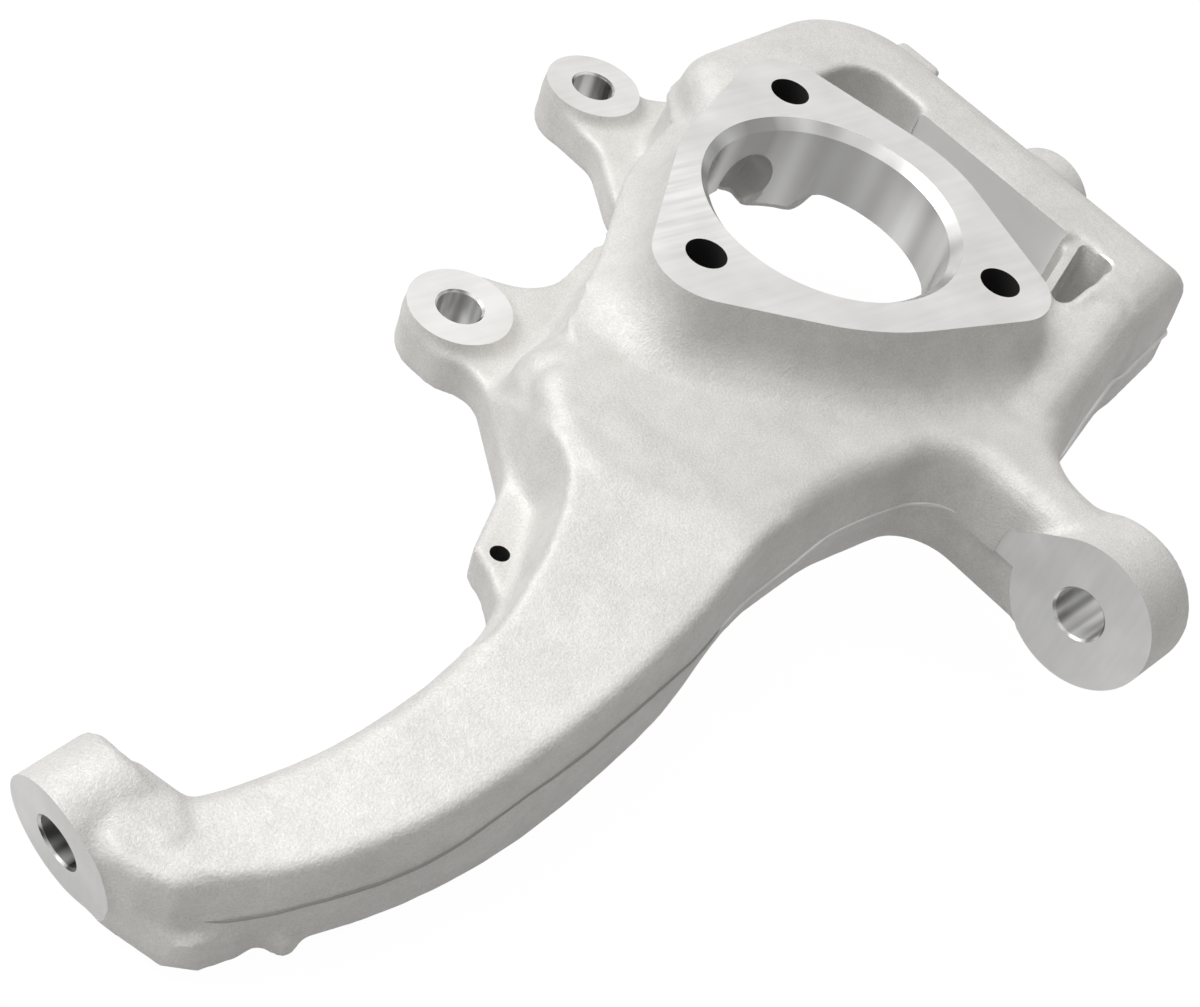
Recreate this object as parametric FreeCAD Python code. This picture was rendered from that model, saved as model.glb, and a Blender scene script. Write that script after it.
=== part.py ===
import FreeCAD, Part
import math
import os

V = FreeCAD.Vector

# driving sizes, mm; origin on the hub axis at the machined hub face
# Z runs out along the hub axis, X towards the upper ball joint, Y towards the tie rod boss.

# hub flange
hub_bore_radius = 44.5
hub_lead_in = 3.5
hub_pcd = 126.0
hub_hole_radius = 7.3
hub_hole_start = -3.3
flange_corner_radius = 19.0
arm_corner_radius = 21.0
arm_corner_shift = 3.0
flange_edge = 4.0
flange_bulges = (11.0, 12.5, 6.0)
flange_side_radii = (100.0, 60.0, 60.0)
hub_ring_depth = 28.0
hole_boss_radius = 26.0
hole_boss_depth = 40.5
sensor_slot_angle = -104.0
sensor_slot_radius = 12.0
sensor_slot_z = -26.0

# levels of the casting
parting = -50.0
body_top = -24.0
body_bottom = -72.0
block_top = -6.0
block_bottom = -58.0

wall_draft = 2.0
round_steps = 4
body_round = 9.0
base_round = 6.0
block_round = 14.0
skirt_round = 19.0

# tower under the hub flange
tower_foot = -25.5
tower_reach = 25.0

# outer walls of the lower end
end_x = -124.2
side_y = -98.0
tab_proud = 3.5
tab_top = -13.0

# leaning top that joins the lower end to the neck
lower_reach = 136.0
saddle_x = -84.0
saddle_z = -5.0
saddle_lean = 14.5
saddle_round = 13.0

# slope beside the upper ear
slope_x = (98.0, 149.0)
slope_low_y = -21.0
slope_high_y = 14.0

# caliper ears
ear_reach = 126.0
ear_angles = (-99.0, -25.6)
ear_hole_radius = 7.8
ear_pad_radius = 18.5
ear_outer_radius = 18.8
ear_face = -46.0
ear_plate_top = -51.0
ear_plate_bottom = -67.0

# tie rod boss, axis along X
tie_y = 154.7
tie_z = -47.0
tie_face = 19.0
tie_length = 25.0
tie_mill = 36.0
neck_proud = 1.5
tie_radius = 27.5
tie_hole_radius = 9.3

# upper ball joint boss, tilted with the steering axis
top_x = 329.4
top_y = 29.8
top_z = -86.0
steer_tilt = 9.0
top_boss_radius = 22.0
top_boss_length = 24.0
top_hole_radius = 8.6

# lower ball joint boss, axis along X
low_y = 16.0
low_z = -31.0
low_end = -130.0
low_boss_radius = 20.0
low_hole_radius = 10.5

# window between the hub flange and the lower ball joint, and the machined seat in its outer wall
window_outer_x = -90.0
window_inner_x = -57.0
window_y = (-59.0, 70.0)
seat_x = -86.0
seat_y = (-26.0, 48.0)
rib_thickness = 3.5

# sensor lead hole in the ledge beside the arm
ledge_hole_x = 173.0
ledge_hole_y = 32.5
ledge_hole_radius = 3.3

# swan neck arm; each station: share of the way from the root to the top boss, y of the centre line,
# heading, half width, rise and drop from the parting line
arm_root_x = 98.0
arm_slope = 8.5
arm_slope_start = 90.0
arm_top_round = 9.0
arm_bottom_round = 7.0
arm_draft = 1.2
arm_steps = 2
arm_stations = [
    (0.0, 42.0, 0.0, 43.0, 26.0, 19.0),
    (0.0864, 45.0, 4.0, 42.0, 30.5, 21.0),
    (0.1556, 50.0, 8.0, 40.5, 32.0, 23.5),
    (0.2463, 61.0, 12.0, 35.0, 31.5, 27.0),
    (0.3587, 72.5, 10.0, 27.0, 28.5, 28.0),
    (0.4926, 78.3, 4.0, 22.6, 26.0, 29.0),
    (0.6136, 78.3, -3.0, 21.4, 23.0, 26.0),
    (0.7239, 74.6, -13.0, 20.4, 20.5, 23.5),
    (0.8254, 66.8, -27.0, 19.4, 18.5, 22.0),
    (0.9054, top_y + 25.7, -47.0, 16.6, 17.5, 21.0),
    (0.9421, top_y + 10.2, -76.0, 12.8, 17.5, 20.5),
    (0.9443, top_y - 2.8, -90.0, 12.0, 17.5, 20.5),
]


def polygon_offset(corners, grow):
    """Corner points of a polygon (anticlockwise) whose sides all move outwards by grow."""
    moved = []
    count = len(corners)
    for i in range(count):
        ax, ay = corners[i - 1][:2]
        bx, by, radius = corners[i]
        cx, cy = corners[(i + 1) % count][:2]
        u = V(bx - ax, by - ay, 0).normalize()
        w = V(cx - bx, cy - by, 0).normalize()
        turn = u.x * w.y - u.y * w.x
        nu = V(u.y, -u.x, 0)
        nw = V(w.y, -w.x, 0)
        scale = grow / (1.0 + nu.dot(nw))
        point = V(bx, by, 0) + (nu + nw) * scale
        new_radius = radius + grow if turn > 0 else radius - grow
        moved.append((point.x, point.y, max(new_radius, 1.5)))
    return moved


def rounded_wire(corners, z, grow=0.0):
    """Closed wire with straight sides and one arc at every corner."""
    pts = polygon_offset(corners, grow)
    count = len(pts)
    arcs = []
    for i in range(count):
        a = V(pts[i - 1][0], pts[i - 1][1], z)
        b = V(pts[i][0], pts[i][1], z)
        c = V(pts[(i + 1) % count][0], pts[(i + 1) % count][1], z)
        u = (a - b).normalize()
        w = (c - b).normalize()
        half = u.getAngle(w) / 2.0
        reach = pts[i][2] / math.tan(half)
        middle = (u + w).normalize()
        centre = b + middle * (pts[i][2] / math.sin(half))
        arcs.append((b + u * reach, centre - middle * pts[i][2], b + w * reach))
    edges = []
    for i in range(count):
        start, mid, end = arcs[i]
        edges.append(Part.Arc(start, mid, end).toShape())
        edges.append(Part.LineSegment(end, arcs[(i + 1) % count][0]).toShape())
    return Part.Wire(edges)


def crowned(corners, levels):
    """Solid through the same outline at several heights, grown by a different amount at each."""
    wires = [rounded_wire(corners, z, grow) for z, grow in levels]
    return Part.makeLoft(wires, True, True)


def drafted(corners, z_low, grow_low, z_high, grow_high):
    """Solid with straight drafted walls."""
    wires = [rounded_wire(corners, z_low, grow_low), rounded_wire(corners, z_high, grow_high)]
    return Part.makeLoft(wires, True, True)


def walls(z_start, z_end, draft, radius):
    """Levels of a drafted wall that ends in a rounded edge; it may run up or down."""
    sign = 1.0 if z_end > z_start else -1.0
    levels = [(z_start, 0.0)]
    for k in range(round_steps + 1):
        turn = math.radians(90.0 * k / round_steps)
        z = z_end - sign * radius * (1.0 - math.sin(turn))
        levels.append((z, -draft - radius * (1.0 - math.cos(turn))))
    return levels


def flare(z_start, z_end, reach, steps):
    """Levels of a wall that leaves upright and sweeps outwards in a quarter of an ellipse."""
    levels = []
    for k in range(steps + 1):
        turn = math.radians(90.0 * k / steps)
        z = z_start + (z_end - z_start) * math.sin(turn)
        levels.append((z, reach * (1.0 - math.cos(turn))))
    return levels


def arm_parting(x):
    """Height of the parting line along the arm: level, then leaning inboard."""
    return parting - max(0.0, x - arm_slope_start) * math.tan(math.radians(arm_slope))


def arm_section(station):
    """Section of the arm across its centre line: crowned top and bottom, ridge at the parting line."""
    share, y, heading, half, rise, drop = station
    x = arm_root_x + share * (top_x - arm_root_x)
    angle = math.radians(heading)
    across = V(-math.sin(angle), math.cos(angle), 0)
    origin = V(x, y, arm_parting(x))

    def at(side, height):
        return origin + across * side + V(0, 0, height)

    upper = half - arm_draft
    lower = half - arm_draft
    rt = arm_top_round
    rb = arm_bottom_round
    k = 1.0 - math.sqrt(0.5)
    edges = []
    for points in (
        (at(half, 0), at(upper, rise - rt)),
        (at(upper, rise - rt), at(upper - k * rt, rise - k * rt), at(upper - rt, rise)),
        (at(upper - rt, rise), at(rt - upper, rise)),
        (at(rt - upper, rise), at(k * rt - upper, rise - k * rt), at(-upper, rise - rt)),
        (at(-upper, rise - rt), at(-half, 0)),
        (at(-half, 0), at(-lower, rb - drop)),
        (at(-lower, rb - drop), at(k * rb - lower, k * rb - drop), at(rb - lower, -drop)),
        (at(rb - lower, -drop), at(lower - rb, -drop)),
        (at(lower - rb, -drop), at(lower - k * rb, k * rb - drop), at(lower, rb - drop)),
        (at(lower, rb - drop), at(half, 0)),
    ):
        if len(points) == 3:
            edges.append(Part.Arc(*points).toShape())
        else:
            edges.append(Part.LineSegment(*points).toShape())
    return Part.Wire(edges)


def eased(stations, steps):
    """More stations, read off a smooth curve (Catmull-Rom) through the given ones."""
    last = len(stations) - 1
    result = []
    for i in range(last):
        a = stations[max(i - 1, 0)]
        b = stations[i]
        c = stations[i + 1]
        d = stations[min(i + 2, last)]
        for k in range(steps):
            t = k / steps
            row = []
            for p, q, r, s in zip(a, b, c, d):
                bend = (2.0 * p - 5.0 * q + 4.0 * r - s) * t * t + (3.0 * (q - r) + s - p) * t * t * t
                row.append(q + 0.5 * ((r - p) * t + bend))
            result.append(tuple(row))
    result.append(stations[-1])
    return result


def polar(radius, angle, z=0.0):
    """Point at a radius and angle about the hub axis."""
    return V(radius * math.cos(math.radians(angle)), radius * math.sin(math.radians(angle)), z)


def post(centre, radius, z_low, z_high):
    """Upright cylinder between two heights."""
    return Part.makeCylinder(radius, z_high - z_low, V(centre.x, centre.y, z_low))


def tangent_direction(point, centre, radius, side):
    """Direction from a point to where a line just touches a circle, on the left (1) or right (-1)."""
    away = centre - point
    turn = math.asin(radius / away.Length) * side
    base = math.atan2(away.y, away.x)
    return V(math.cos(base + turn), math.sin(base + turn), 0)


def meet(p, u, q, w):
    """Point where two lines in the plane cross."""
    step = ((q.x - p.x) * w.y - (q.y - p.y) * w.x) / (u.x * w.y - u.y * w.x)
    return p + u * step


# outline of the cast body at the parting line, with the tie rod neck: x, y, corner radius
body_outline = [
    (-74.0, side_y + 20.0, 14.0),
    (-36.0, side_y + 20.0, 20.0),
    (18.0, -49.0, 40.0),
    (100.0, -15.0, 50.0),
    (131.0, -9.0, 16.0),
    (150.0, 20.0, 14.0),
    (152.0, 38.0, 12.0),
    (129.0, 88.0, 14.0),
    (70.0, 84.0, 90.0),
    (tie_face + neck_proud, 90.0, 18.0),
    (tie_face + neck_proud, tie_y, 13.0),
    (-8.0, tie_y, 13.0),
    (-9.0, 112.5, 22.0),
    (-84.0, 91.5, 10.0),
]

# the lower half stops short of the ledge beside the arm
lower_outline = body_outline[:4] + [
    (lower_reach - 5.0, -9.0, 16.0),
    (lower_reach, 20.0, 14.0),
    (lower_reach, 38.0, 12.0),
    (lower_reach - 7.0, 88.0, 14.0),
] + body_outline[8:]

# softer side of the body between the caliper ears
skirt_outline = [
    (-74.0, side_y + 6.0, 14.0),
    (-30.0, side_y + 6.0, 24.0),
    (22.0, -63.0, 44.0),
    (100.0, -27.0, 60.0),
    (127.0, -23.0, 18.0),
    (147.0, 14.0, 16.0),
    (116.0, 30.0, 20.0),
    (-60.0, 0.0, 24.0),
]

# outline of the lower ball joint end, which stands higher than the rest of the body
block_outline = [
    (end_x, side_y, 42.0),
    (-22.0, side_y, 24.0),
    (10.0, -50.0, 30.0),
    (30.0, 0.0, 30.0),
    (-22.0, 50.0, 30.0),
    (-60.0, 80.0, 20.0),
    (-78.0, 96.3, 12.0),
    (end_x, 89.5, 5.0),
]

# leaning top between the lower end and the neck
saddle_outline = [
    (saddle_x, 40.0, 10.0),
    (14.0, 40.0, 10.0),
    (14.0, 92.0, 24.0),
    (-10.0, 107.5, 24.0),
    (saddle_x, 90.5, 14.0),
]

# the flange wraps each hub bolt; its sides bow outwards, the one over the window the most,
# and the corner over the arm is fuller and a little off its bolt
bolts = [polar(hub_pcd / 2.0, hub_hole_start + 120.0 * n) for n in range(3)]
corner_centres = [bolts[0] + V(0, arm_corner_shift, 0), bolts[1], bolts[2]]
corner_radii = (arm_corner_radius, flange_corner_radius, flange_corner_radius)
knees = []
for n in range(3):
    reach = hub_pcd / 4.0 + flange_corner_radius + flange_bulges[n] * 1.25
    knees.append(polar(reach, hub_hole_start + 60.0 + 120.0 * n))
flange_outline = []
for n in range(3):
    before = knees[n - 1]
    after = knees[n]
    u = tangent_direction(before, corner_centres[n], corner_radii[n], -1)
    w = tangent_direction(after, corner_centres[n], corner_radii[n], 1)
    tip = meet(before, u, after, w)
    flange_outline.append((tip.x, tip.y, corner_radii[n]))
    flange_outline.append((after.x, after.y, flange_side_radii[n]))

# body: the two halves of the casting, each with drafted and rounded walls
upper_body = crowned(body_outline, walls(parting, body_top, wall_draft, body_round))
lower_body = crowned(lower_outline, walls(parting, body_bottom, wall_draft, base_round))
lower_skirt = crowned(skirt_outline, walls(parting, body_bottom + 2.0, wall_draft, base_round))
upper_block = crowned(block_outline, walls(parting, block_top, wall_draft + 1.0, block_round))
lower_block = crowned(block_outline, walls(parting, block_bottom, 1.0, base_round))

skirt = crowned(skirt_outline, walls(parting, body_top - 1.0, wall_draft, skirt_round))

# saddle: a leaning top that lets the lower end fall away towards the neck
saddle = crowned(saddle_outline, walls(parting - 2.0, saddle_z, 0.5, saddle_round))
saddle.rotate(V(saddle_outline[0][0], 0, saddle_z), V(0, 1, 0), saddle_lean)

# flared tower that carries the hub flange
tower_levels = [(0.0, 0.0)] + flare(-flange_edge, tower_foot, tower_reach, 6)
tower = crowned(flange_outline, tower_levels)

# arm
arm = Part.makeLoft([arm_section(s) for s in eased(arm_stations, arm_steps)], True, True)

# caliper ears and the web that joins them to the body and to the ledge on the arm
ear_points = [polar(ear_reach, a) for a in ear_angles]
e1 = ear_points[0]
e2 = ear_points[1]
er = ear_outer_radius
ear_web_1 = [
    (e1.x - er, e1.y - er, er - 0.5),
    (e1.x + er, e1.y - er, er - 0.5),
    (e1.x + er, e1.y + 24.0, 14.0),
    (24.0, -62.0, 20.0),
    (-10.0, -40.0, 10.0),
    (-66.0, -60.0, 10.0),
    (-66.0, -100.0, 10.0),
    (e1.x - er, e1.y + 8.0, 14.0),
]
ear_web_2 = [
    (e2.x - er, e2.y - er, er - 0.5),
    (e2.x + er, e2.y - er, er - 0.5),
    (e2.x + er, e2.y + 12.0, 10.0),
    (124.0, -31.0, 12.0),
    (148.5, 9.0, 25.0),
    (178.5, 26.0, 5.0),
    (181.0, 36.0, 10.0),
    (187.0, 48.0, 8.0),
    (197.0, 66.0, 6.0),
    (150.0, 60.0, 10.0),
    (70.0, 0.0, 10.0),
    (30.0, -44.0, 10.0),
    (34.0, -62.0, 8.0),
    (76.0, -49.0, 22.0),
]
draft_step = 1.0
webs = []
for outline in (ear_web_1, ear_web_2):
    webs.append(drafted(outline, ear_plate_bottom, -draft_step, ear_plate_top, 0.0))
pads = [post(e, ear_pad_radius, ear_plate_bottom + 1.0, ear_face) for e in ear_points]

# round bosses
axis_x = V(1, 0, 0)
tie_boss = Part.makeCylinder(tie_radius, tie_length, V(tie_face - tie_length, tie_y, tie_z), axis_x)
tilt = math.radians(steer_tilt)
top_axis = V(math.cos(tilt), 0, -math.sin(tilt))
top_centre = V(top_x, top_y, top_z)
top_boss = Part.makeCylinder(
    top_boss_radius, top_boss_length, top_centre - top_axis * top_boss_length, top_axis)
low_boss = Part.makeCylinder(low_boss_radius, seat_x - low_end, V(low_end, low_y, low_z), axis_x)

# small tab on the outer wall of the lower end
tab = Part.makeBox(16.0, 21.0, tab_top - parting, V(end_x - tab_proud, -66.0, parting))

# heel: the lower half of the arm ends in a squarer corner than the upper half
heel_outline = [
    (top_x - 39.4, top_y + 28.2, 8.0),
    (top_x - 27.4, top_y + 8.2, 8.0),
    (top_x - 5.4, top_y + 4.2, 6.0),
    (top_x - 0.4, top_y + 20.2, 8.0),
    (top_x - 8.4, top_y + 47.7, 5.0),
    (top_x - 35.4, top_y + 54.2, 8.0),
]
heel_levels = [(top_z - 20.0, -5.0), (top_z - 17.0, -2.0), (top_z - 6.0, -0.4), (top_z, 0.0)]
heel = crowned(heel_outline, heel_levels)
stub = post(V(top_x - 39.4, top_y + 54.7, 0), 4.5, top_z - 15.0, top_z - 6.0)

blanks = [lower_body, lower_skirt, upper_block, lower_block, skirt, saddle, tower, arm]
blanks += [tie_boss, top_boss, low_boss, tab, heel, stub]
solid = upper_body.multiFuse(blanks + webs + pads)

# slope from the top of the body down to the web of the upper ear
slope_side = Part.makePolygon([
    V(slope_x[0], slope_low_y, ear_plate_top), V(slope_x[0], slope_low_y, ear_plate_top + 1.0),
    V(slope_x[0], slope_high_y, body_top - 2.5), V(slope_x[0], slope_high_y + 6.0, body_top - 1.5),
    V(slope_x[0], slope_high_y + 6.0, ear_plate_top), V(slope_x[0], slope_low_y, ear_plate_top)])
solid = solid.fuse(Part.Face(slope_side).extrude(V(slope_x[1] - slope_x[0], 0, 0)))

# scallop in the side of the arm above the ledge: foot on the ledge, and the edge it makes at the top
scallop_foot = [
    (210.0, -30.0), (210.0, 58.0), (191.5, 52.5), (175.5, 43.5),
    (162.5, 33.5), (151.5, 25.0), (148.5, 12.0), (126.0, -30.0)]
scallop_edge = [
    (210.0, -30.0), (210.0, 68.0), (196.5, 61.5), (174.5, 51.5),
    (160.5, 42.0), (149.0, 31.0), (142.0, 15.0), (114.0, -30.0)]
scallop_wires = []
for outline, z in ((scallop_foot, ear_plate_top), (scallop_edge, body_top)):
    scallop_wires.append(rounded_wire([(x, y, 4.0) for x, y in outline], z))
solid = solid.cut(Part.makeLoft(scallop_wires, True, True))

# hollow under the hub, open to the window beside the flange
hollow = [
    (-84.0, -82.0, 14.0),
    (-26.0, -82.0, 18.0),
    (24.0, -46.0, 30.0),
    (66.0, -24.0, 20.0),
    (72.0, 30.0, 24.0),
    (30.0, 72.0, 24.0),
    (-40.0, 84.0, 20.0),
    (-84.0, 72.0, 16.0),
]
solid = solid.cut(drafted(hollow, body_bottom - 5.0, 4.0, -hub_ring_depth, 0.0))

# window from the top, with the seat and a rib left standing in it
window = [
    (window_outer_x, window_y[0], 15.0),
    (window_inner_x, window_y[0], 5.0),
    (window_inner_x - 6.5, 8.0, 60.0),
    (window_inner_x + 10.0, window_y[1], 5.0),
    (window_outer_x, window_y[1], 15.0),
]
solid = solid.cut(drafted(window, -hub_ring_depth - 6.0, -1.0, 1.0, 0.6))
seat_back = seat_x - 18.0
seat_bottom = low_z - low_boss_radius - 2.0
seat = Part.makeBox(
    seat_x - seat_back, seat_y[1] - seat_y[0], block_top - seat_bottom,
    V(seat_back, seat_y[0], seat_bottom))
rib_start = V(window_outer_x - 6.0, window_y[1] - 21.0, 0)
rib_end = V(window_inner_x + 9.0, window_y[1] - 5.2, 0)
rib_along = (rib_end - rib_start).normalize()
rib_side = V(-rib_along.y, rib_along.x, 0) * (rib_thickness / 2.0)
rib_wire = Part.makePolygon([
    rib_start - rib_side, rib_end - rib_side, rib_end + rib_side,
    rib_start + rib_side, rib_start - rib_side])
rib = Part.Face(rib_wire).extrude(V(0, 0, 28.0))
rib.translate(V(0, 0, -hub_ring_depth - 10.0))
solid = solid.fuse([seat, rib])

# bosses behind the hub bolts, then the hub bore with its lead-in
bosses = []
for b in bolts:
    depth = hole_boss_depth - hub_ring_depth + 1.0
    bosses.append(Part.makeCone(
        0.8 * hole_boss_radius, hole_boss_radius, depth, V(b.x, b.y, -hole_boss_depth)))
solid = solid.fuse(bosses)
solid = solid.cut(post(V(0, 0, 0), hub_bore_radius, body_bottom - 10.0, 5.0))
lead_in = Part.makeCone(hub_bore_radius, hub_bore_radius + hub_lead_in, hub_lead_in, V(0, 0, -hub_lead_in))
solid = solid.cut(lead_in)
slot = Part.makeCylinder(
    sensor_slot_radius, 16.0, polar(hub_bore_radius - 4.0, sensor_slot_angle, sensor_slot_z),
    polar(1.0, sensor_slot_angle))
solid = solid.cut(slot)

# holes
cutters = []
for b in bolts:
    cutters.append(post(b, hub_hole_radius, -hole_boss_depth - 5.0, 5.0))
for e in ear_points:
    cutters.append(post(e, ear_hole_radius, ear_plate_bottom - 5.0, ear_face + 5.0))
cutters.append(Part.makeCylinder(
    tie_hole_radius, tie_length + 10.0, V(tie_face - tie_length - 5.0, tie_y, tie_z), axis_x))
cutters.append(Part.makeCylinder(
    top_hole_radius, top_boss_length + 16.0, top_centre - top_axis * (top_boss_length + 8.0), top_axis))
cutters.append(Part.makeCylinder(
    low_hole_radius, seat_x - low_end + 6.0, V(low_end - 3.0, low_y, low_z), axis_x))
cutters.append(post(
    V(ledge_hole_x, ledge_hole_y, 0), ledge_hole_radius, ear_plate_bottom - 5.0, body_top))
for c in cutters:
    solid = solid.cut(c)

# faces milled flat at the two round bosses
solid = solid.cut(Part.makeCylinder(top_boss_radius + 2.0, top_boss_length, top_centre, top_axis))
solid = solid.cut(Part.makeCylinder(tie_mill, tie_length, V(tie_face, tie_y, tie_z), axis_x))

solid = solid.removeSplitter()

os.makedirs("parts", exist_ok=True)
solid.exportStep("parts/knuckle_casting.step")
volume = round(solid.Volume / 1000.0, 1)
print("solids", len(solid.Solids), "faces", len(solid.Faces), "volume", volume, "cm3")
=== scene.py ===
import math

import bpy
import numpy as np
import openvdb
from mathutils import Euler, Matrix, Vector
from mathutils.bvhtree import BVHTree


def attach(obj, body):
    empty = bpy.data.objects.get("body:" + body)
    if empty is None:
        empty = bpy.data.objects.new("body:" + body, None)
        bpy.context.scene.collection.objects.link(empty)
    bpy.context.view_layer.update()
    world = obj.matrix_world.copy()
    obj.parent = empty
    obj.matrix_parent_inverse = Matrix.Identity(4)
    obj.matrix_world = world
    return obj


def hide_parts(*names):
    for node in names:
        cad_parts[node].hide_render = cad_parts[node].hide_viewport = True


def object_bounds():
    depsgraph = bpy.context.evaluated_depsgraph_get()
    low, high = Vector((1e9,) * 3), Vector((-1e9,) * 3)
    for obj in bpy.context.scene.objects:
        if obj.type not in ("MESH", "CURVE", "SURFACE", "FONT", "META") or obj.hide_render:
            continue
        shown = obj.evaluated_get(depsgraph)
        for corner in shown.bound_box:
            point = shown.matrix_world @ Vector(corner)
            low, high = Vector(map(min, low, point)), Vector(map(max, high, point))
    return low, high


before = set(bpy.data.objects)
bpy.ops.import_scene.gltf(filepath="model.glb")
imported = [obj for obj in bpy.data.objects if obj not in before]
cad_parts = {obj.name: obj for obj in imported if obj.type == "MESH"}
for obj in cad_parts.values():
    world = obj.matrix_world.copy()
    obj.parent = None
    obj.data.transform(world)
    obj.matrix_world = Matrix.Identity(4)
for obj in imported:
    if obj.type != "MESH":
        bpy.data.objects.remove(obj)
cad_low, cad_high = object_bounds()

MM = 0.001
UP = (0.0, 0.0, 1.0)

# sizes of the casting, mm, as the solid model has them
BORE_RADIUS = 44.5
LEAD_IN = 3.5
PCD = 126.0
BOLT_RADIUS = 7.3
BOLT_START = -3.3
CORNER_RADIUS = 19.0
ARM_CORNER_RADIUS = 21.0
ARM_CORNER_SHIFT = 3.0
BULGES = (11.0, 12.5, 6.0)
SIDE_RADII = (100.0, 60.0, 60.0)
RING_DEPTH = 28.0
HOLE_BOSS_DEPTH = 40.5
SLOT_ANGLE = -104.0
SLOT_RADIUS = 12.0
SLOT_Z = -26.0
SLOT_OVERSIZE = 1.04
EAR_REACH = 126.0
EAR_ANGLES = (-99.0, -25.6)
EAR_HOLE_RADIUS = 7.8
EAR_PAD_RADIUS = 18.5
EAR_FACE = -46.0
EAR_BOTTOM = -67.0
TIE = (19.0, 154.7, -47.0)
TIE_LENGTH = 25.0
TIE_RADIUS = 27.5
TIE_HOLE_RADIUS = 9.3
TOP = (329.4, 29.8, -86.0)
TOP_TILT = 9.0
TOP_RADIUS = 22.0
TOP_LENGTH = 24.0
TOP_HOLE_RADIUS = 8.6
LOW = (-130.0, 16.0, -31.0)
LOW_RADIUS = 20.0
LOW_HOLE_RADIUS = 10.5
SEAT_X = -86.0
SEAT_Y = (-26.0, 48.0)
SEAT_BOTTOM = -53.0
RIB = [(-90.6, 49.2), (-56.8, 60.3), (-56.8, 63.8), (-90.6, 52.7)]
RIB_FOOT = -36.0
RIB_TOP = -9.8
POCKET = [(-89.4, 53.1, 1.5), (-57.6, 63.6, 1.5), (-57.6, 69.4, 4.5), (-89.4, 69.4, 4.5)]
POCKET_FLOOR = -60.0
BLOCK_TOP = -6.0
WINDOW_EDGE = [(-1.6, 0.0), (-0.9, 0.0), (6.0, 6.9)]
LEDGE_HOLE = (173.0, 32.5)
LEDGE_HOLE_RADIUS = 3.3
LEDGE_TOP = -51.0
HOLE_CHAMFER = 0.8

# mills are wider than the face that they cut and run clear of the metal; drills go right through
MILL_OVERLAP = 3.0
MILL_TRAVEL = 14.0
TIE_MILL_RADIUS = 36.0
TIE_MILL_TRAVEL = 12.0
HUB_MILL_REACH = 200.0
HUB_MILL_TRAVEL = 40.0
PAD_OVERLAP = 0.6
THROUGH = 12.0
SEAT_WIDTH = 18.0

# swan neck arm: share of its length, y of the centre line, heading, half width and rise
ARM_ROOT_X = 98.0
ARM_SLOPE = 8.5
ARM_SLOPE_START = 90.0
ARM_ROOT_Z = -50.0
ARM_STATIONS = [
    (0.0, 42.0, 0.0, 43.0, 26.0), (0.0864, 45.0, 4.0, 42.0, 30.5),
    (0.1556, 50.0, 8.0, 40.5, 32.0), (0.2463, 61.0, 12.0, 35.0, 31.5),
    (0.3587, 72.5, 10.0, 27.0, 28.5), (0.4926, 78.3, 4.0, 22.6, 26.0),
    (0.6136, 78.3, -3.0, 21.4, 23.0), (0.7239, 74.6, -13.0, 20.4, 20.5),
    (0.8254, 66.8, -27.0, 19.4, 18.5), (0.9054, 55.5, -47.0, 16.6, 17.5),
    (0.9421, 40.0, -76.0, 12.8, 17.5)]
CREST_ROUND = 4.5

# the arm's end beside the upper boss, filled level: corners as x, y and radius
SHOULDER = [(303.0, 52.0, 6.0), (326.0, 38.0, 3.0), (329.2, 50.0, 8.0), (326.2, 60.0, 8.0),
            (320.4, 68.2, 3.0), (305.0, 76.0, 14.0), (288.0, 81.5, 14.0), (284.0, 68.0, 6.0)]
SADDLE = [(304.0, 26.0, 5.0), (322.0, 26.0, 5.0), (326.0, 42.0, 8.0), (318.0, 60.0, 6.0),
          (306.0, 62.0, 6.0), (299.0, 46.0, 8.0)]

# parting line seen on the open side: arm with bay, and block; x, y and z near the surface
ARM_FLASH = [
    (312.4, 73.8, -82.5), (305.8, 78.9, -80.8), (286.8, 88.5, -76.0), (264.1, 95.6, -73.4),
    (249.9, 98.2, -71.0), (240.0, 99.4, -68.0), (223.9, 100.1, -62.8), (211.6, 100.3, -60.6),
    (196.6, 99.9, -58.4), (185.6, 99.1, -55.8), (169.2, 97.7, -53.6), (157.0, 96.2, -53.0),
    (128.0, 90.0, -54.6), (111.7, 86.0, -54.2), (90.9, 85.3, -51.5), (72.9, 84.1, -49.0),
    (51.0, 86.1, -48.4), (30.9, 89.6, -49.4), (23.1, 96.2, -48.4), (20.9, 101.2, -48.1)]
BAY_FROM = 12
BLOCK_FLASH = [(-130, 88, -37), (-116, 91, -36), (-95, 94, -36), (-73, 97, -38), (-55, 102, -43),
               (-36, 107, -47)]
ARM_BEAD = 0.6
BAY_BEAD = 0.7
BLOCK_BEAD = 1.0
BEAD_SIDES = 8

# the neck's edge beside the tie rod face, and where the mill ran off it, below the parting line
NECK_TOP = -50.6
NECK_BOTTOM = -85.0
NECK_EDGE = [(139.5, NECK_BOTTOM), (139.5, -70.0), (134.5, -65.5), (130.8, -60.0), (128.5, -55.0),
             (127.3, NECK_TOP)]
NECK_STARTS = [(17.9, 115.0), (20.7, 106.0), (25.0, 106.0)]

# the heel's corner, and how deep it is cut away at each height
HEEL_CORNER = (321.0, 77.5)
HEEL_OUTWARD = (0.69, 0.725)
HEEL_TRIM = [(-108.5, 11.0), (-104.5, 6.6), (-100.5, 4.4), (-95.0, 3.2), (-88.0, 2.4), (-85.0, 2.2),
             (-79.0, -4.0)]
HEEL_REACH = 12.0
HEEL_HALF = 26.0

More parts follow.
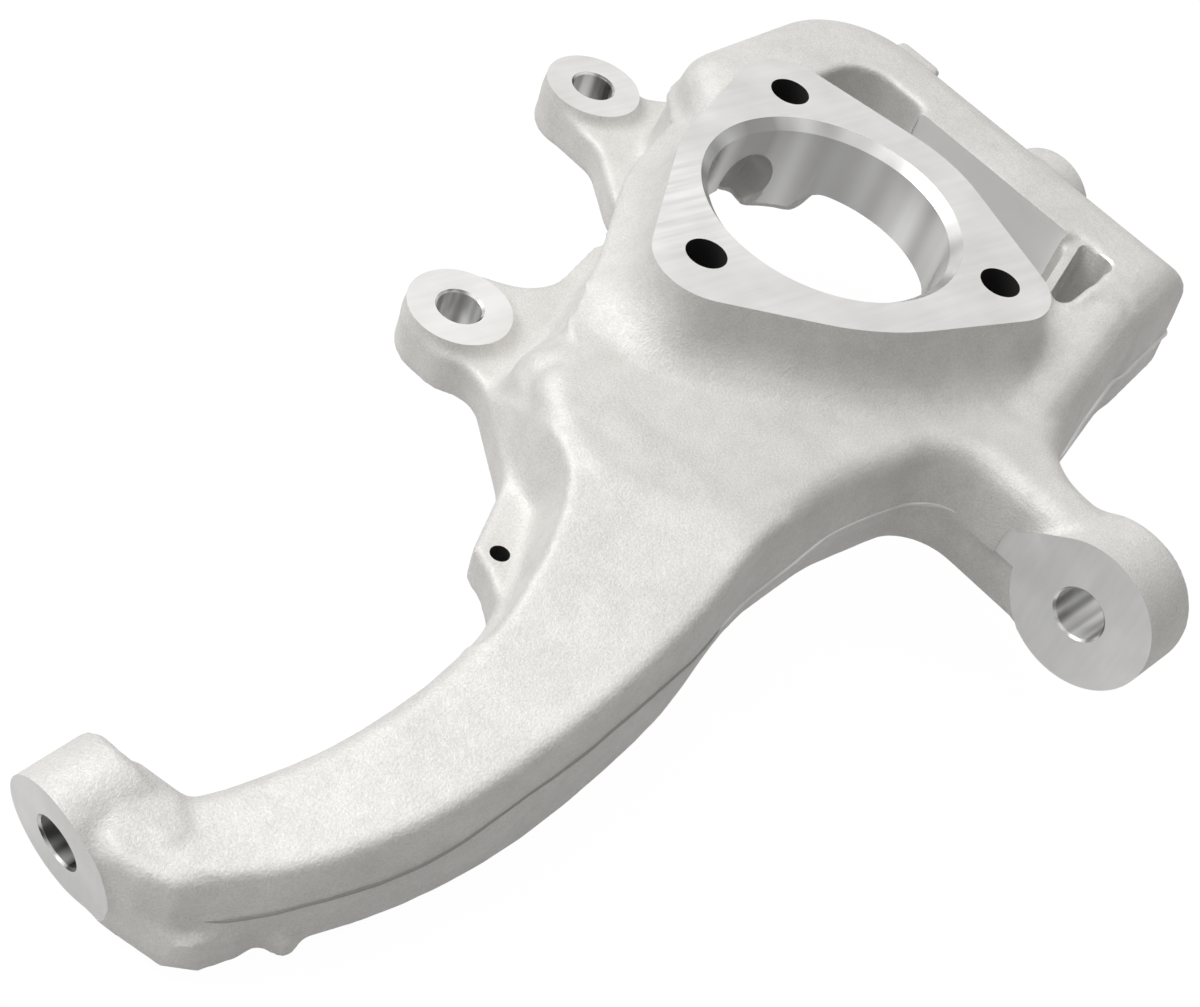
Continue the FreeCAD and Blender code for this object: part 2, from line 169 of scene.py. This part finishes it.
# how the cast skin is rounded, mm; fillings stand on the flange by STOCK and on the bosses by BOSS_STOCK,
# and go into the metal round a hole by LAP, and at its far end by SINK
VOXEL = 1.0
FINAL_VOXEL = 1.35
FILLET = 3.6
EDGE_ROUND = 1.5
STOCK = 5.0
BOSS_STOCK = 4.0
LAP = 1.0
SINK = 0.6
CREST_INSET = 1.4
SHOULDER_LEVELS = [(-90.0, 0.0), (-70.0, 1.0), (-68.0, 0.7), (-66.6, -0.4), (-65.6, -2.4)]
SADDLE_LEVELS = [(-90.0, 0.0), (-71.0, 0.0), (-67.0, -1.2), (-65.0, -3.0), (-64.2, -5.0)]
TRIANGLES = 170000
SHARP_ANGLE = 34.0


def polar(radius, angle, z=0.0):
    turn = math.radians(angle)
    return (radius * math.cos(turn), radius * math.sin(turn), z)


# closed meshes as (points, faces), mm


def lathe(centre, axis, profile, steps=96):
    """Closed solid of revolution; the profile is (distance along the axis, radius) and ends on the axis."""
    turn = Vector(UP).rotation_difference(Vector(axis).normalized()).to_matrix()
    points, faces, rings = [], [], []
    for along, radius in profile:
        if radius == 0.0:
            rings.append([len(points)])
            points.append(Vector((0, 0, along)))
            continue
        rings.append(list(range(len(points), len(points) + steps)))
        for k in range(steps):
            a = 2 * math.pi * k / steps
            points.append(Vector((radius * math.cos(a), radius * math.sin(a), along)))
    for low, high in zip(rings, rings[1:]):
        for k in range(steps):
            n = (k + 1) % steps
            if len(low) == 1:
                faces.append((low[0], high[n], high[k]))
            elif len(high) == 1:
                faces.append((low[k], low[n], high[0]))
            else:
                faces.append((low[k], low[n], high[n], high[k]))
    origin = Vector(centre)
    return np.array([turn @ p + origin for p in points]), faces


def cylinder(centre, axis, radius, start, end, steps=96):
    return lathe(centre, axis, [(start, 0.0), (start, radius), (end, radius), (end, 0.0)], steps)


def bore(centre, axis, radius, start, face, chamfer, steps=96):
    """Cutter for a hole with a chamfered mouth at face, open beyond it."""
    return lathe(centre, axis, [
        (start, 0.0), (start, radius), (face - chamfer, radius), (face + 4.0, radius + chamfer + 4.0),
        (face + 4.0, 0.0)], steps)


def stack(loops):
    """Closed solid through loops of equal point count, with flat ends."""
    count = len(loops[0])
    points = np.vstack(loops)
    faces = [tuple(range(count))[::-1]]
    for i in range(len(loops) - 1):
        for k in range(count):
            n = (k + 1) % count
            faces.append((i * count + k, i * count + n, (i + 1) * count + n, (i + 1) * count + k))
    faces.append(tuple(range((len(loops) - 1) * count, len(loops) * count)))
    return points, faces


def box(low, high):
    loop = [(low[0], low[1]), (high[0], low[1]), (high[0], high[1]), (low[0], high[1])]
    return stack([np.array([(x, y, z) for x, y in loop]) for z in (low[2], high[2])])


def rounded(corners, grow=0.0, steps=8):
    """Points of an anticlockwise polygon with arcs at its corners, all sides moved out by grow."""
    moved = []
    count = len(corners)
    for i, (bx, by, radius) in enumerate(corners):
        a, c = corners[i - 1], corners[(i + 1) % count]
        u = Vector((bx - a[0], by - a[1])).normalized()
        w = Vector((c[0] - bx, c[1] - by)).normalized()
        nu, nw = Vector((u.y, -u.x)), Vector((w.y, -w.x))
        turn = u.x * w.y - u.y * w.x
        p = Vector((bx, by)) + (nu + nw) * (grow / (1.0 + nu.dot(nw)))
        moved.append((p, max(radius + grow if turn > 0 else radius - grow, 1.0)))
    loop = []
    for i, (b, radius) in enumerate(moved):
        a, c = moved[i - 1][0], moved[(i + 1) % count][0]
        u, w = (a - b).normalized(), (c - b).normalized()
        half = u.angle(w) / 2.0
        start = b + u * (radius / math.tan(half))
        end = b + w * (radius / math.tan(half))
        centre = b + (u + w).normalized() * (radius / math.sin(half))
        a0, a1 = (start - centre), (end - centre)
        t0 = math.atan2(a0.y, a0.x)
        sweep = (math.atan2(a1.y, a1.x) - t0 + math.pi) % (2 * math.pi) - math.pi
        for k in range(steps + 1):
            t = t0 + sweep * k / steps
            loop.append((centre.x + radius * math.cos(t), centre.y + radius * math.sin(t)))
    return loop


def at_height(loop, z):
    return np.array([(x, y, z) for x, y in loop])


def add_mesh(name, solid, material=None):
    points, faces = solid
    mesh = bpy.data.meshes.new(name)
    mesh.from_pydata([tuple(p) for p in np.asarray(points) * MM], [], faces)
    mesh.validate()
    if material:
        mesh.materials.append(material)
    piece = bpy.data.objects.new(name, mesh)
    bpy.context.scene.collection.objects.link(piece)
    return piece


def triangulated(solid):
    points, faces = solid
    tris = []
    for f in faces:
        for k in range(1, len(f) - 1):
            tris.append((f[0], f[k], f[k + 1]))
    return np.asarray(points, float), np.array(tris)


def level_set(points, faces, half_width, voxel):
    """Distance field of a mesh that is all triangles or all quads."""
    kind = "triangles" if faces.shape[1] == 3 else "quads"
    return openvdb.FloatGrid.createLevelSetFromPolygons(
        points.astype(np.float32), transform=openvdb.createLinearTransform(voxelSize=voxel),
        halfWidth=half_width, **{kind: faces.astype(np.uint32)})


# outline of the hub flange

bolts = [polar(PCD / 2.0, BOLT_START + 120.0 * n) for n in range(3)]
knees = [polar(PCD / 4.0 + CORNER_RADIUS + BULGES[n] * 1.25, BOLT_START + 60.0 + 120.0 * n) for n in range(3)]


def tangent(point, centre, radius, side):
    away = Vector(centre[:2]) - Vector(point[:2])
    turn = math.asin(radius / away.length) * side
    base = math.atan2(away.y, away.x) + turn
    return Vector((math.cos(base), math.sin(base)))


def crossing(p, u, q, w):
    step = ((q[0] - p[0]) * w.y - (q[1] - p[1]) * w.x) / (u.x * w.y - u.y * w.x)
    return Vector(p[:2]) + u * step


centres = [(bolts[0][0], bolts[0][1] + ARM_CORNER_SHIFT, 0.0), bolts[1], bolts[2]]
radii = (ARM_CORNER_RADIUS, CORNER_RADIUS, CORNER_RADIUS)
flange = []
for n in range(3):
    before, after = knees[n - 1], knees[n]
    u = tangent(before, centres[n], radii[n], -1)
    w = tangent(after, centres[n], radii[n], 1)
    tip = crossing(before, u, after, w)
    flange.append((tip.x, tip.y, radii[n]))
    flange.append((after[0], after[1], SIDE_RADII[n]))

tilt = math.radians(TOP_TILT)
top_axis = (math.cos(tilt), 0.0, -math.sin(tilt))
ears = [polar(EAR_REACH, a) for a in EAR_ANGLES]
AXIS_X = (1.0, 0.0, 0.0)

# cast skin: the solid with its holes filled and its machined faces raised, then rounded all over

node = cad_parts["knuckle_casting"]
cad_points = np.array([v.co for v in node.data.vertices], float) / MM
node.data.calc_loop_triangles()
cad_faces = np.array([t.vertices for t in node.data.loop_triangles])

slot_arch = []
for k in range(25):
    a = math.pi * k / 24.0
    slot_arch.append((SLOT_OVERSIZE * SLOT_RADIUS * math.cos(a),
                      max(SLOT_OVERSIZE * SLOT_RADIUS * math.sin(a), 0.0)))
slot_side = Vector(polar(1.0, SLOT_ANGLE + 90.0))
slot_out = Vector(polar(1.0, SLOT_ANGLE))


def arch(start, end, low):
    loops = []
    for reach in (start, end):
        loops.append(np.array([
            slot_out * reach + slot_side * s + Vector((0, 0, max(SLOT_Z + h, low))) for s, h in slot_arch]))
    return stack(loops)


def between(a, b, c, d, t):
    """Point of a smooth curve (Catmull-Rom) between b and c."""
    bend = (2 * a - 5 * b + 4 * c - d) * t * t + (3 * (b - c) + d - a) * t * t * t
    return b + 0.5 * ((c - a) * t + bend)


def crest(stations, round_radius):
    """The outer half of the arm above the parting line, with a tighter edge than the solid model's."""
    rows = np.array(stations)
    last = len(rows) - 1
    eased = []
    for i in range(last):
        for t in (0.0, 0.5):
            eased.append(between(rows[max(i - 1, 0)], rows[i], rows[i + 1], rows[min(i + 2, last)], t))
    eased.append(rows[-1])
    loops = []
    for share, y, heading, half, rise in eased:
        x = ARM_ROOT_X + share * (TOP[0] - ARM_ROOT_X)
        z = ARM_ROOT_Z - max(0.0, x - ARM_SLOPE_START) * math.tan(math.radians(ARM_SLOPE))
        turn = math.radians(heading)
        wall = half - CREST_INSET
        ring = [(2.0, 0.0), (half - 0.2, 0.0)]
        for k in range(6):
            a = math.pi / 2.0 * k / 5.0
            ring.append((wall - round_radius * (1.0 - math.cos(a)),
                         rise - round_radius * (1.0 - math.sin(a))))
        ring.append((2.0, rise))
        loops.append(np.array([
            (x - math.sin(turn) * u, y + math.cos(turn) * u, z + h) for u, h in ring]))
    return stack(loops)


filling = [
    crest(ARM_STATIONS, CREST_ROUND),
    stack([at_height(rounded(SADDLE, grow), z) for z, grow in SADDLE_LEVELS]),
    stack([at_height(rounded(SHOULDER, grow), z) for z, grow in SHOULDER_LEVELS]),
    stack([at_height(rounded(flange), -3.5), at_height(rounded(flange), STOCK)]),
    cylinder((0, 0, 0), UP, BORE_RADIUS + 1.5, -RING_DEPTH + SINK, STOCK),
    arch(BORE_RADIUS - LAP, BORE_RADIUS + 12.8, -RING_DEPTH + SINK),
    cylinder(TIE, AXIS_X, TIE_RADIUS, -TIE_LENGTH + 0.5, BOSS_STOCK),
    cylinder(TOP, top_axis, TOP_RADIUS, -TOP_LENGTH + 0.5, BOSS_STOCK),
    cylinder(TOP, top_axis, TOP_HOLE_RADIUS + LAP, -TOP_LENGTH - 2.5, 0.0),
    cylinder((SEAT_X, LOW[1], LOW[2]), AXIS_X, LOW_HOLE_RADIUS + LAP, LOW[0] - SEAT_X - 3.0, 2.0),
    cylinder(LOW, AXIS_X, LOW_RADIUS, -3.0, 3.0),
    cylinder((LEDGE_HOLE[0], LEDGE_HOLE[1], 0), UP, LEDGE_HOLE_RADIUS + LAP, -66.5, LEDGE_TOP - 0.3),
    box((SEAT_X - 16.0, SEAT_Y[0], SEAT_BOTTOM), (SEAT_X + 2.5, SEAT_Y[1], -6.5)),
]
for b in bolts:
    filling.append(cylinder(b, UP, BOLT_RADIUS + LAP, -HOLE_BOSS_DEPTH + SINK, STOCK))
for e in ears:
    filling.append(cylinder(e, UP, EAR_PAD_RADIUS, EAR_BOTTOM + SINK, EAR_FACE + BOSS_STOCK))

points, faces = cad_points, cad_faces
for solid in filling:
    p, f = triangulated(solid)
    faces = np.vstack([faces, f + len(points)])
    points = np.vstack([points, p])

reach = FILLET / VOXEL + 2.5
skin = level_set(points, faces, reach, VOXEL)
points, faces = skin.convertToQuads(FILLET)
skin = level_set(points, faces, (FILLET + EDGE_ROUND) / VOXEL + 2.5, VOXEL)
points, faces = skin.convertToQuads(-FILLET - EDGE_ROUND)
skin = level_set(points, faces, EDGE_ROUND / FINAL_VOXEL + 3.0, FINAL_VOXEL)
points, faces = skin.convertToQuads(EDGE_ROUND)

# the level set's faces look inward, so they are turned round
casting = add_mesh("casting", (points, [tuple(int(i) for i in f)[::-1] for f in faces]))


def apply_modifiers(piece):
    """Puts what the modifiers make into the mesh."""
    dg = bpy.context.evaluated_depsgraph_get()
    made = bpy.data.meshes.new_from_object(piece.evaluated_get(dg))
    piece.modifiers.clear()
    old = piece.data
    piece.data = made
    bpy.data.meshes.remove(old)


thin = casting.modifiers.new("thin", "DECIMATE")
thin.ratio = TRIANGLES / (2.0 * len(faces))
apply_modifiers(casting)


def light(name, place, aim, size, power):
    lamp = bpy.data.lights.new(name, "AREA")
    lamp.shape = "DISK"
    lamp.size = size
    lamp.energy = power
    holder = bpy.data.objects.new(name, lamp)
    bpy.context.scene.collection.objects.link(holder)
    holder.location = place
    holder.visible_camera = False
    holder.rotation_euler = (Vector(aim) - Vector(place)).to_track_quat("-Z", "Y").to_euler()


def plain_material(name, colour, metallic, roughness):
    material = bpy.data.materials.new(name)
    material.use_nodes = True
    shader = material.node_tree.nodes["Principled BSDF"]
    shader.inputs["Base Color"].default_value = (*colour, 1.0)
    shader.inputs["Metallic"].default_value = metallic
    shader.inputs["Roughness"].default_value = roughness
    return material


def maths(tree, operation, first, second):
    """Arithmetic node; each input is a number or another node's output."""
    made = tree.nodes.new("ShaderNodeMath")
    made.operation = operation
    for socket, value in zip(made.inputs, (first, second)):
        if isinstance(value, (int, float)):
            socket.default_value = value
        else:
            tree.links.new(value, socket)
    return made.outputs[0]


class Finish:
    """Short names for building one material's nodes; places are the object's own, in metres."""

    def __init__(self, material):
        self.tree = material.node_tree
        self.shader = self.tree.nodes["Principled BSDF"]
        self.place = self.tree.nodes.new("ShaderNodeTexCoord").outputs["Object"]

    def node(self, kind, **settings):
        made = self.tree.nodes.new(kind)
        for key, value in settings.items():
            setattr(made, key, value)
        return made

    def join(self, a, b):
        self.tree.links.new(a, b)

    def noise(self, scale, detail=2.0, roughness=0.5, where=None):
        made = self.node("ShaderNodeTexNoise")
        made.inputs["Scale"].default_value = scale
        made.inputs["Detail"].default_value = detail
        made.inputs["Roughness"].default_value = roughness
        self.join(where or self.place, made.inputs["Vector"])
        return made.outputs["Fac"]

    def spread(self, value, low, high, start=0.0, end=1.0):
        made = self.node("ShaderNodeMapRange")
        made.inputs["From Min"].default_value = start
        made.inputs["From Max"].default_value = end
        made.inputs["To Min"].default_value = low
        made.inputs["To Max"].default_value = high
        self.join(value, made.inputs["Value"])
        return made.outputs["Result"]

    def maths(self, operation, first, second):
        return maths(self.tree, operation, first, second)

    def bump(self, height, distance, strength, below=None):
        made = self.node("ShaderNodeBump")
        made.inputs["Strength"].default_value = strength
        made.inputs["Distance"].default_value = distance
        self.join(height, made.inputs["Height"])
        if below:
            self.join(below, made.inputs["Normal"])
        return made.outputs["Normal"]

    def shade(self, fac, dark, light):
        made = self.node("ShaderNodeMix", data_type="RGBA")
        made.inputs[6].default_value = (*dark, 1.0)
        made.inputs[7].default_value = (*light, 1.0)
        self.join(fac, made.inputs[0])
        return made.outputs[2]


def cast_skin():
    """Fine grain and orange peel, with faint blotches and stains."""
    material = plain_material("cast_aluminium", (0.74, 0.73, 0.71), 0.42, 0.56)
    look = Finish(material)
    blotch = look.noise(26.0, 4.0, 0.55)
    stain = look.noise(90.0, 3.0, 0.6)
    grain = look.noise(1250.0, 2.0, 0.65)
    peel = look.noise(380.0, 3.0, 0.6)
    clouds = look.spread(blotch, 0.0, 0.3, 0.32, 0.68)
    tone = look.maths("ADD", clouds, look.spread(grain, 0.0, 0.5, 0.3, 0.7))
    tone = look.maths("ADD", tone, look.spread(stain, 0.0, 0.2, 0.35, 0.65))
    colour = look.shade(tone, (0.62, 0.612, 0.594), (0.86, 0.85, 0.83))
    look.join(colour, look.shader.inputs["Base Color"])
    look.join(look.spread(peel, 0.5, 0.64, 0.3, 0.7), look.shader.inputs["Roughness"])
    rough_skin = look.bump(grain, 0.0004, 0.5, look.bump(peel, 0.0004, 0.35))
    look.join(rough_skin, look.shader.inputs["Normal"])
    return material


def milled_face():
    """Soft clouds, and tool strokes with a painted sheen: near a spot beside the bore they show stronger and
    the face lighter, fading away from it.
    """
    material = plain_material("machined_aluminium", (0.8, 0.8, 0.795), 0.45, 0.36)
    look = Finish(material)
    stretch = look.node("ShaderNodeMapping", vector_type="TEXTURE")
    stretch.inputs["Scale"].default_value = (0.06, 0.0028, 0.02)
    stretch.inputs["Rotation"].default_value = (0.0, 0.0, -0.16)
    look.join(look.place, stretch.inputs["Vector"])
    strokes = look.noise(1.0, 3.0, 0.6, stretch.outputs["Vector"])
    away = look.node("ShaderNodeVectorMath", operation="DISTANCE")
    away.inputs[1].default_value = (0.058, -0.036, 0.0)
    look.join(look.place, away.inputs[0])
    # painted sheen: within 1 to 4 cm of the spot the strokes show stronger and the face lighter; further off
    # they fade
    near = look.spread(away.outputs["Value"], 0.75, 0.16, 0.01, 0.04)
    cloud = look.noise(34.0, 2.0, 0.5)
    tone = look.maths("MULTIPLY", look.spread(strokes, 0.0, 1.0, 0.36, 0.64), near)
    tone = look.maths("ADD", look.spread(cloud, 0.0, 0.5, 0.32, 0.68), tone)
    colour = look.shade(tone, (0.74, 0.74, 0.735), (0.98, 0.98, 0.975))
    look.join(colour, look.shader.inputs["Base Color"])
    look.join(look.spread(strokes, 0.3, 0.44, 0.3, 0.7), look.shader.inputs["Roughness"])
    look.join(look.bump(strokes, 0.00008, 0.3), look.shader.inputs["Normal"])
    return material


def turned_wall_painted_reflections(name, scale, dark, light):
    """Painted reflections: soft light and dark bands along a bore, as a bright wall shows them."""
    material = plain_material(name, (0.85, 0.85, 0.845), 0.6, 0.26)
    look = Finish(material)
    bands = look.node("ShaderNodeMapping")
    bands.inputs["Scale"].default_value = scale
    look.join(look.place, bands.inputs["Vector"])
    painted_band = look.noise(1.0, 1.0, 0.5, bands.outputs["Vector"])
    colour = look.shade(look.spread(painted_band, 0.0, 1.0, 0.38, 0.62), dark, light)
    look.join(colour, look.shader.inputs["Base Color"])
    return material


cast = cast_skin()
machined = milled_face()
# the bore and the reamed holes carry painted reflection bands, from dark grey or near black to white
bored = turned_wall_painted_reflections("turned_aluminium", (48.0, 48.0, 3.0), (0.55, 0.55, 0.545), (1.0, 1.0, 0.995))
reamed_up = turned_wall_painted_reflections("reamed_upright", (150.0, 150.0, 6.0), (0.08, 0.08, 0.075), (1.0, 1.0, 0.99))
reamed_flat = turned_wall_painted_reflections("reamed_level", (6.0, 150.0, 150.0), (0.08, 0.08, 0.075), (1.0, 1.0, 0.99))
# painted light: the seat is milled like the other faces, made whiter and not metallic so that it looks lit
milled_seat_painted_light = plain_material("milled_seat_painted_light", (0.97, 0.97, 0.975), 0.0, 0.4)
# painted shadow: a dark grey for the arm's parting line bead, standing in for the thin shadow along it
flash_painted_shadow = plain_material("flash_painted_shadow_line", (0.42, 0.415, 0.4), 0.2, 0.6)
# painted shade: the bolt holes and the ledge hole are near black, standing in for the shade inside them
hole_painted_shade = plain_material("drilled_hole_painted_shade", (0.03, 0.03, 0.03), 0.2, 0.6)
for material in (cast, machined, bored, reamed_up, reamed_flat, milled_seat_painted_light, flash_painted_shadow, hole_painted_shade):
    casting.data.materials.append(material)

# machined faces and bores, cut crisp into the cast skin


def cut(solid, operation="DIFFERENCE", material=machined):
    """Boolean step on the casting; the faces that the solid leaves take the material."""
    tool = add_mesh("tool", solid, material)
    step = casting.modifiers.new("cut", "BOOLEAN")
    step.object = tool
    step.operation = operation
    step.solver = "MANIFOLD"
    if hasattr(step, "material_mode"):
        step.material_mode = "TRANSFER"
    apply_modifiers(casting)
    data = tool.data
    bpy.data.objects.remove(tool)
    bpy.data.meshes.remove(data)


cutters = [
    box((-HUB_MILL_REACH, -HUB_MILL_REACH, 0.0), (HUB_MILL_REACH, HUB_MILL_REACH, HUB_MILL_TRAVEL)),
    cylinder((0, 0, SLOT_Z), tuple(slot_out), SLOT_RADIUS, BORE_RADIUS - 4.0, BORE_RADIUS + 12.0),
    cylinder(TIE, AXIS_X, TIE_MILL_RADIUS, 0.0, TIE_MILL_TRAVEL),
    cylinder(TOP, top_axis, TOP_RADIUS + MILL_OVERLAP, 0.0, MILL_TRAVEL),
    cylinder(LOW, AXIS_X, LOW_RADIUS + MILL_OVERLAP, -MILL_TRAVEL, 0.0),
]
turned = [
    bore(TIE, AXIS_X, TIE_HOLE_RADIUS, -TIE_LENGTH - THROUGH, 0.0, HOLE_CHAMFER),
    bore(TOP, top_axis, TOP_HOLE_RADIUS, -TOP_LENGTH - THROUGH, 0.0, HOLE_CHAMFER),
    cylinder(LOW, AXIS_X, LOW_HOLE_RADIUS, -5.0, 60.0),
]
for e in ears:
    cutters.append(cylinder(e, UP, EAR_PAD_RADIUS + PAD_OVERLAP, EAR_FACE, EAR_FACE + MILL_TRAVEL))
for solid in cutters:
    cut(solid)
for solid in turned:
    cut(solid, material=reamed_flat)
for e in ears:
    cut(bore(e, UP, EAR_HOLE_RADIUS, EAR_BOTTOM - 20.0, EAR_FACE, HOLE_CHAMFER), material=reamed_up)
cut(box((SEAT_X, SEAT_Y[0], SEAT_BOTTOM), (SEAT_X + SEAT_WIDTH, SEAT_Y[1], 4.0)), material=milled_seat_painted_light)
cut(lathe((0, 0, 0), UP, [
    (-90.0, 0.0), (-90.0, BORE_RADIUS), (-LEAD_IN, BORE_RADIUS), (4.0, BORE_RADIUS + LEAD_IN + 4.0),
    (4.0, 0.0)], 192), material=bored)
# the neck stands back from the mill below its parting line, and the heel's corner rounds off below
cut(stack([np.array([(x, y, z) for y, z in [(start, NECK_BOTTOM)] + NECK_EDGE + [(start, NECK_TOP)]])
           for x, start in NECK_STARTS]), material=cast)
corner, outward = Vector(HEEL_CORNER), Vector(HEEL_OUTWARD)
across = Vector((-outward.y, outward.x))
far = corner + outward * HEEL_REACH
trim = []
for z, depth in HEEL_TRIM:
    near = corner - outward * depth
    trim.append(at_height([near - across * HEEL_HALF, far - across * HEEL_HALF,
                           far + across * HEEL_HALF, near + across * HEEL_HALF], z))
cut(stack(trim), material=cast)
# the window's end pocket and its rib keep thin edges
cut(stack([at_height(rounded(POCKET, grow), BLOCK_TOP + z) for z, grow in WINDOW_EDGE]))
cut(stack([at_height(rounded(POCKET), z) for z in (POCKET_FLOOR, 5.0)]), material=cast)
cut(stack([at_height(RIB, z) for z in (RIB_FOOT, RIB_TOP)]), "UNION", cast)
for b in bolts:
    cut(cylinder(b, UP, BOLT_RADIUS, -60.0, 4.0), material=hole_painted_shade)
cut(cylinder((LEDGE_HOLE[0], LEDGE_HOLE[1], 0), UP, LEDGE_HOLE_RADIUS, -90.0, LEDGE_TOP + 8.0, 48),
    material=hole_painted_shade)

# parting line flash: a thin bead laid on the cast skin


def smooth_line(places, step=1.5):
    """Even steps along a Catmull-Rom curve through the given places."""
    line = []
    last = len(places) - 1
    for i in range(last):
        a, b, c, d = (Vector(places[k]) for k in (max(i - 1, 0), i, i + 1, min(i + 2, last)))
        count = max(2, int((c - b).length / step))
        for k in range(count):
            line.append(between(a, b, c, d, k / count))
    line.append(Vector(places[-1]))
    return line


def bead(places, radius, seed):
    """Closed bead that follows the skin near a line, a little uneven in height."""
    tree = BVHTree.FromPolygons([v.co / MM for v in casting.data.vertices],
                                [tuple(f.vertices) for f in casting.data.polygons])
    rng = np.random.default_rng(seed)
    swell = np.convolve(rng.random(400), np.ones(7) / 7.0, "same")
    line = smooth_line(places)
    spots = [tree.find_nearest(p) for p in line]
    loops = []
    for i, (spot, normal, *_) in enumerate(spots):
        ahead = (spots[min(i + 1, len(spots) - 1)][0] - spots[max(i - 1, 0)][0]).normalized()
        out = (normal - ahead * normal.dot(ahead)).normalized()
        side = ahead.cross(out)
        size = radius * (0.7 + 0.6 * swell[i % 400]) * min(1.0, 0.25 + min(i, len(spots) - 1 - i) / 6.0)
        loops.append(np.array([
            spot + out * (size * 1.15 * math.cos(a) - 0.1) + side * size * math.sin(a)
            for a in (2 * math.pi * k / BEAD_SIDES for k in range(BEAD_SIDES))]))
    return stack(loops)


# the arm's bead takes a dark grey that paints the shadow line along it
cut(bead(ARM_FLASH[:BAY_FROM + 1], ARM_BEAD, 0), "UNION", flash_painted_shadow)
# the bay's and the block's beads take the lighter machined colour, a painted highlight along each ridge
cut(bead(ARM_FLASH[BAY_FROM:], BAY_BEAD, 1), "UNION", machined)
cut(bead(BLOCK_FLASH, BLOCK_BEAD, 2), "UNION", machined)

mesh = casting.data
mesh.polygons.foreach_set("use_smooth", [True] * len(mesh.polygons))
mesh.set_sharp_from_angle(angle=math.radians(SHARP_ANGLE))
tris = sum(len(p.vertices) - 2 for p in mesh.polygons)
print("triangles", tris)

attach(casting, "root")
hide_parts("knuckle_casting")

# floor, light and camera

floor_z = cad_low.z - 0.001
floor = add_mesh("floor", (np.array([
    (-6000, -6000, floor_z / MM), (6000, -6000, floor_z / MM), (6000, 6000, floor_z / MM),
    (-6000, 6000, floor_z / MM)]), [(0, 1, 2, 3)]))
MIRRORED_WHITE = 0.4


def white_to_camera(tree, surface, share, strength=1.0):
    """Mixes a plain white glow into what the camera sees, and some of it into what mirrors see."""
    nodes, links = tree.nodes, tree.links
    path = nodes.new("ShaderNodeLightPath")
    seen = maths(tree, "MAXIMUM", path.outputs["Is Camera Ray"], path.outputs["Is Transmission Ray"])
    mirrored = maths(tree, "MULTIPLY", path.outputs["Is Glossy Ray"], MIRRORED_WHITE)
    part = maths(tree, "MULTIPLY", maths(tree, "MAXIMUM", seen, mirrored), share)
    glow = nodes.new("ShaderNodeEmission")
    glow.inputs["Color"].default_value = (1.0, 1.0, 1.0, 1.0)
    glow.inputs["Strength"].default_value = strength
    mix = nodes.new("ShaderNodeMixShader")
    links.new(part, mix.inputs[0])
    links.new(surface, mix.inputs[1])
    links.new(glow.outputs[0], mix.inputs[2])
    return mix.outputs[0]


def floor_paper():
    material = plain_material("floor_paper", (0.55, 0.55, 0.55), 0.0, 0.9)
    tree = material.node_tree
    glowing = white_to_camera(tree, tree.nodes["Principled BSDF"].outputs[0], 0.9, strength=1.08)
    tree.links.new(glowing, tree.nodes["Material Output"].inputs["Surface"])
    return material


floor.data.materials.append(floor_paper())

# a pale studio room: soft bright areas on dark, as (direction, strength)
ROOM = [
    ((0.0, 0.0, 1.0), 1.38), ((-0.71, 0.0, 0.71), 0.1), ((-0.35, -0.61, 0.71), 0.62),
    ((0.35, -0.61, 0.71), 1.1)]
SOFTNESS = 5.0
ROOM_COLOUR = (1.0, 0.985, 0.965, 1.0)


def studio():
    world = bpy.data.worlds.new("studio")
    world.use_nodes = True
    tree = world.node_tree
    back = tree.nodes["Background"]
    where = tree.nodes.new("ShaderNodeTexCoord")
    glow = None
    for towards, strength in ROOM:
        lean = tree.nodes.new("ShaderNodeVectorMath")
        lean.operation = "DOT_PRODUCT"
        lean.inputs[1].default_value = towards
        tree.links.new(where.outputs["Generated"], lean.inputs[0])
        area = maths(tree, "POWER", maths(tree, "MAXIMUM", lean.outputs["Value"], 0.0), SOFTNESS)
        area = maths(tree, "MULTIPLY", area, strength)
        glow = area if glow is None else maths(tree, "ADD", glow, area)
    tree.links.new(glow, back.inputs["Strength"])
    back.inputs["Color"].default_value = ROOM_COLOUR
    seen_world = white_to_camera(tree, back.outputs[0], 1.0)
    tree.links.new(seen_world, tree.nodes["World Output"].inputs["Surface"])
    return world


bpy.context.scene.world = studio()
light("key", place=(0.56, -0.98, 1.14), aim=(0.08, 0.0, -0.04), size=1.1, power=7.6)
light("side", place=(2.2, -0.6, 0.3), aim=(0.1, 0.0, -0.05), size=1.4, power=6.0)

# the photograph's camera, matched to the bolt circle, the bore and the bosses
EYE = (0.59326, 0.29342, 0.45584)
EYE_TURN = (44.00476, -16.49806, 135.63551)
FOCAL_LENGTH = 69.0
SENSOR_WIDTH = 36.0

camera = bpy.data.cameras.new("camera")
camera.lens = FOCAL_LENGTH
camera.sensor_width = SENSOR_WIDTH
camera.clip_start = 0.01
camera.clip_end = 50.0
eye = bpy.data.objects.new("camera", camera)
bpy.context.scene.collection.objects.link(eye)
turn = Euler([math.radians(a) for a in EYE_TURN]).to_matrix().to_4x4()
eye.matrix_world = Matrix.Translation(EYE) @ turn
bpy.context.scene.camera = eye
bpy.context.scene.view_settings.view_transform = "Standard"
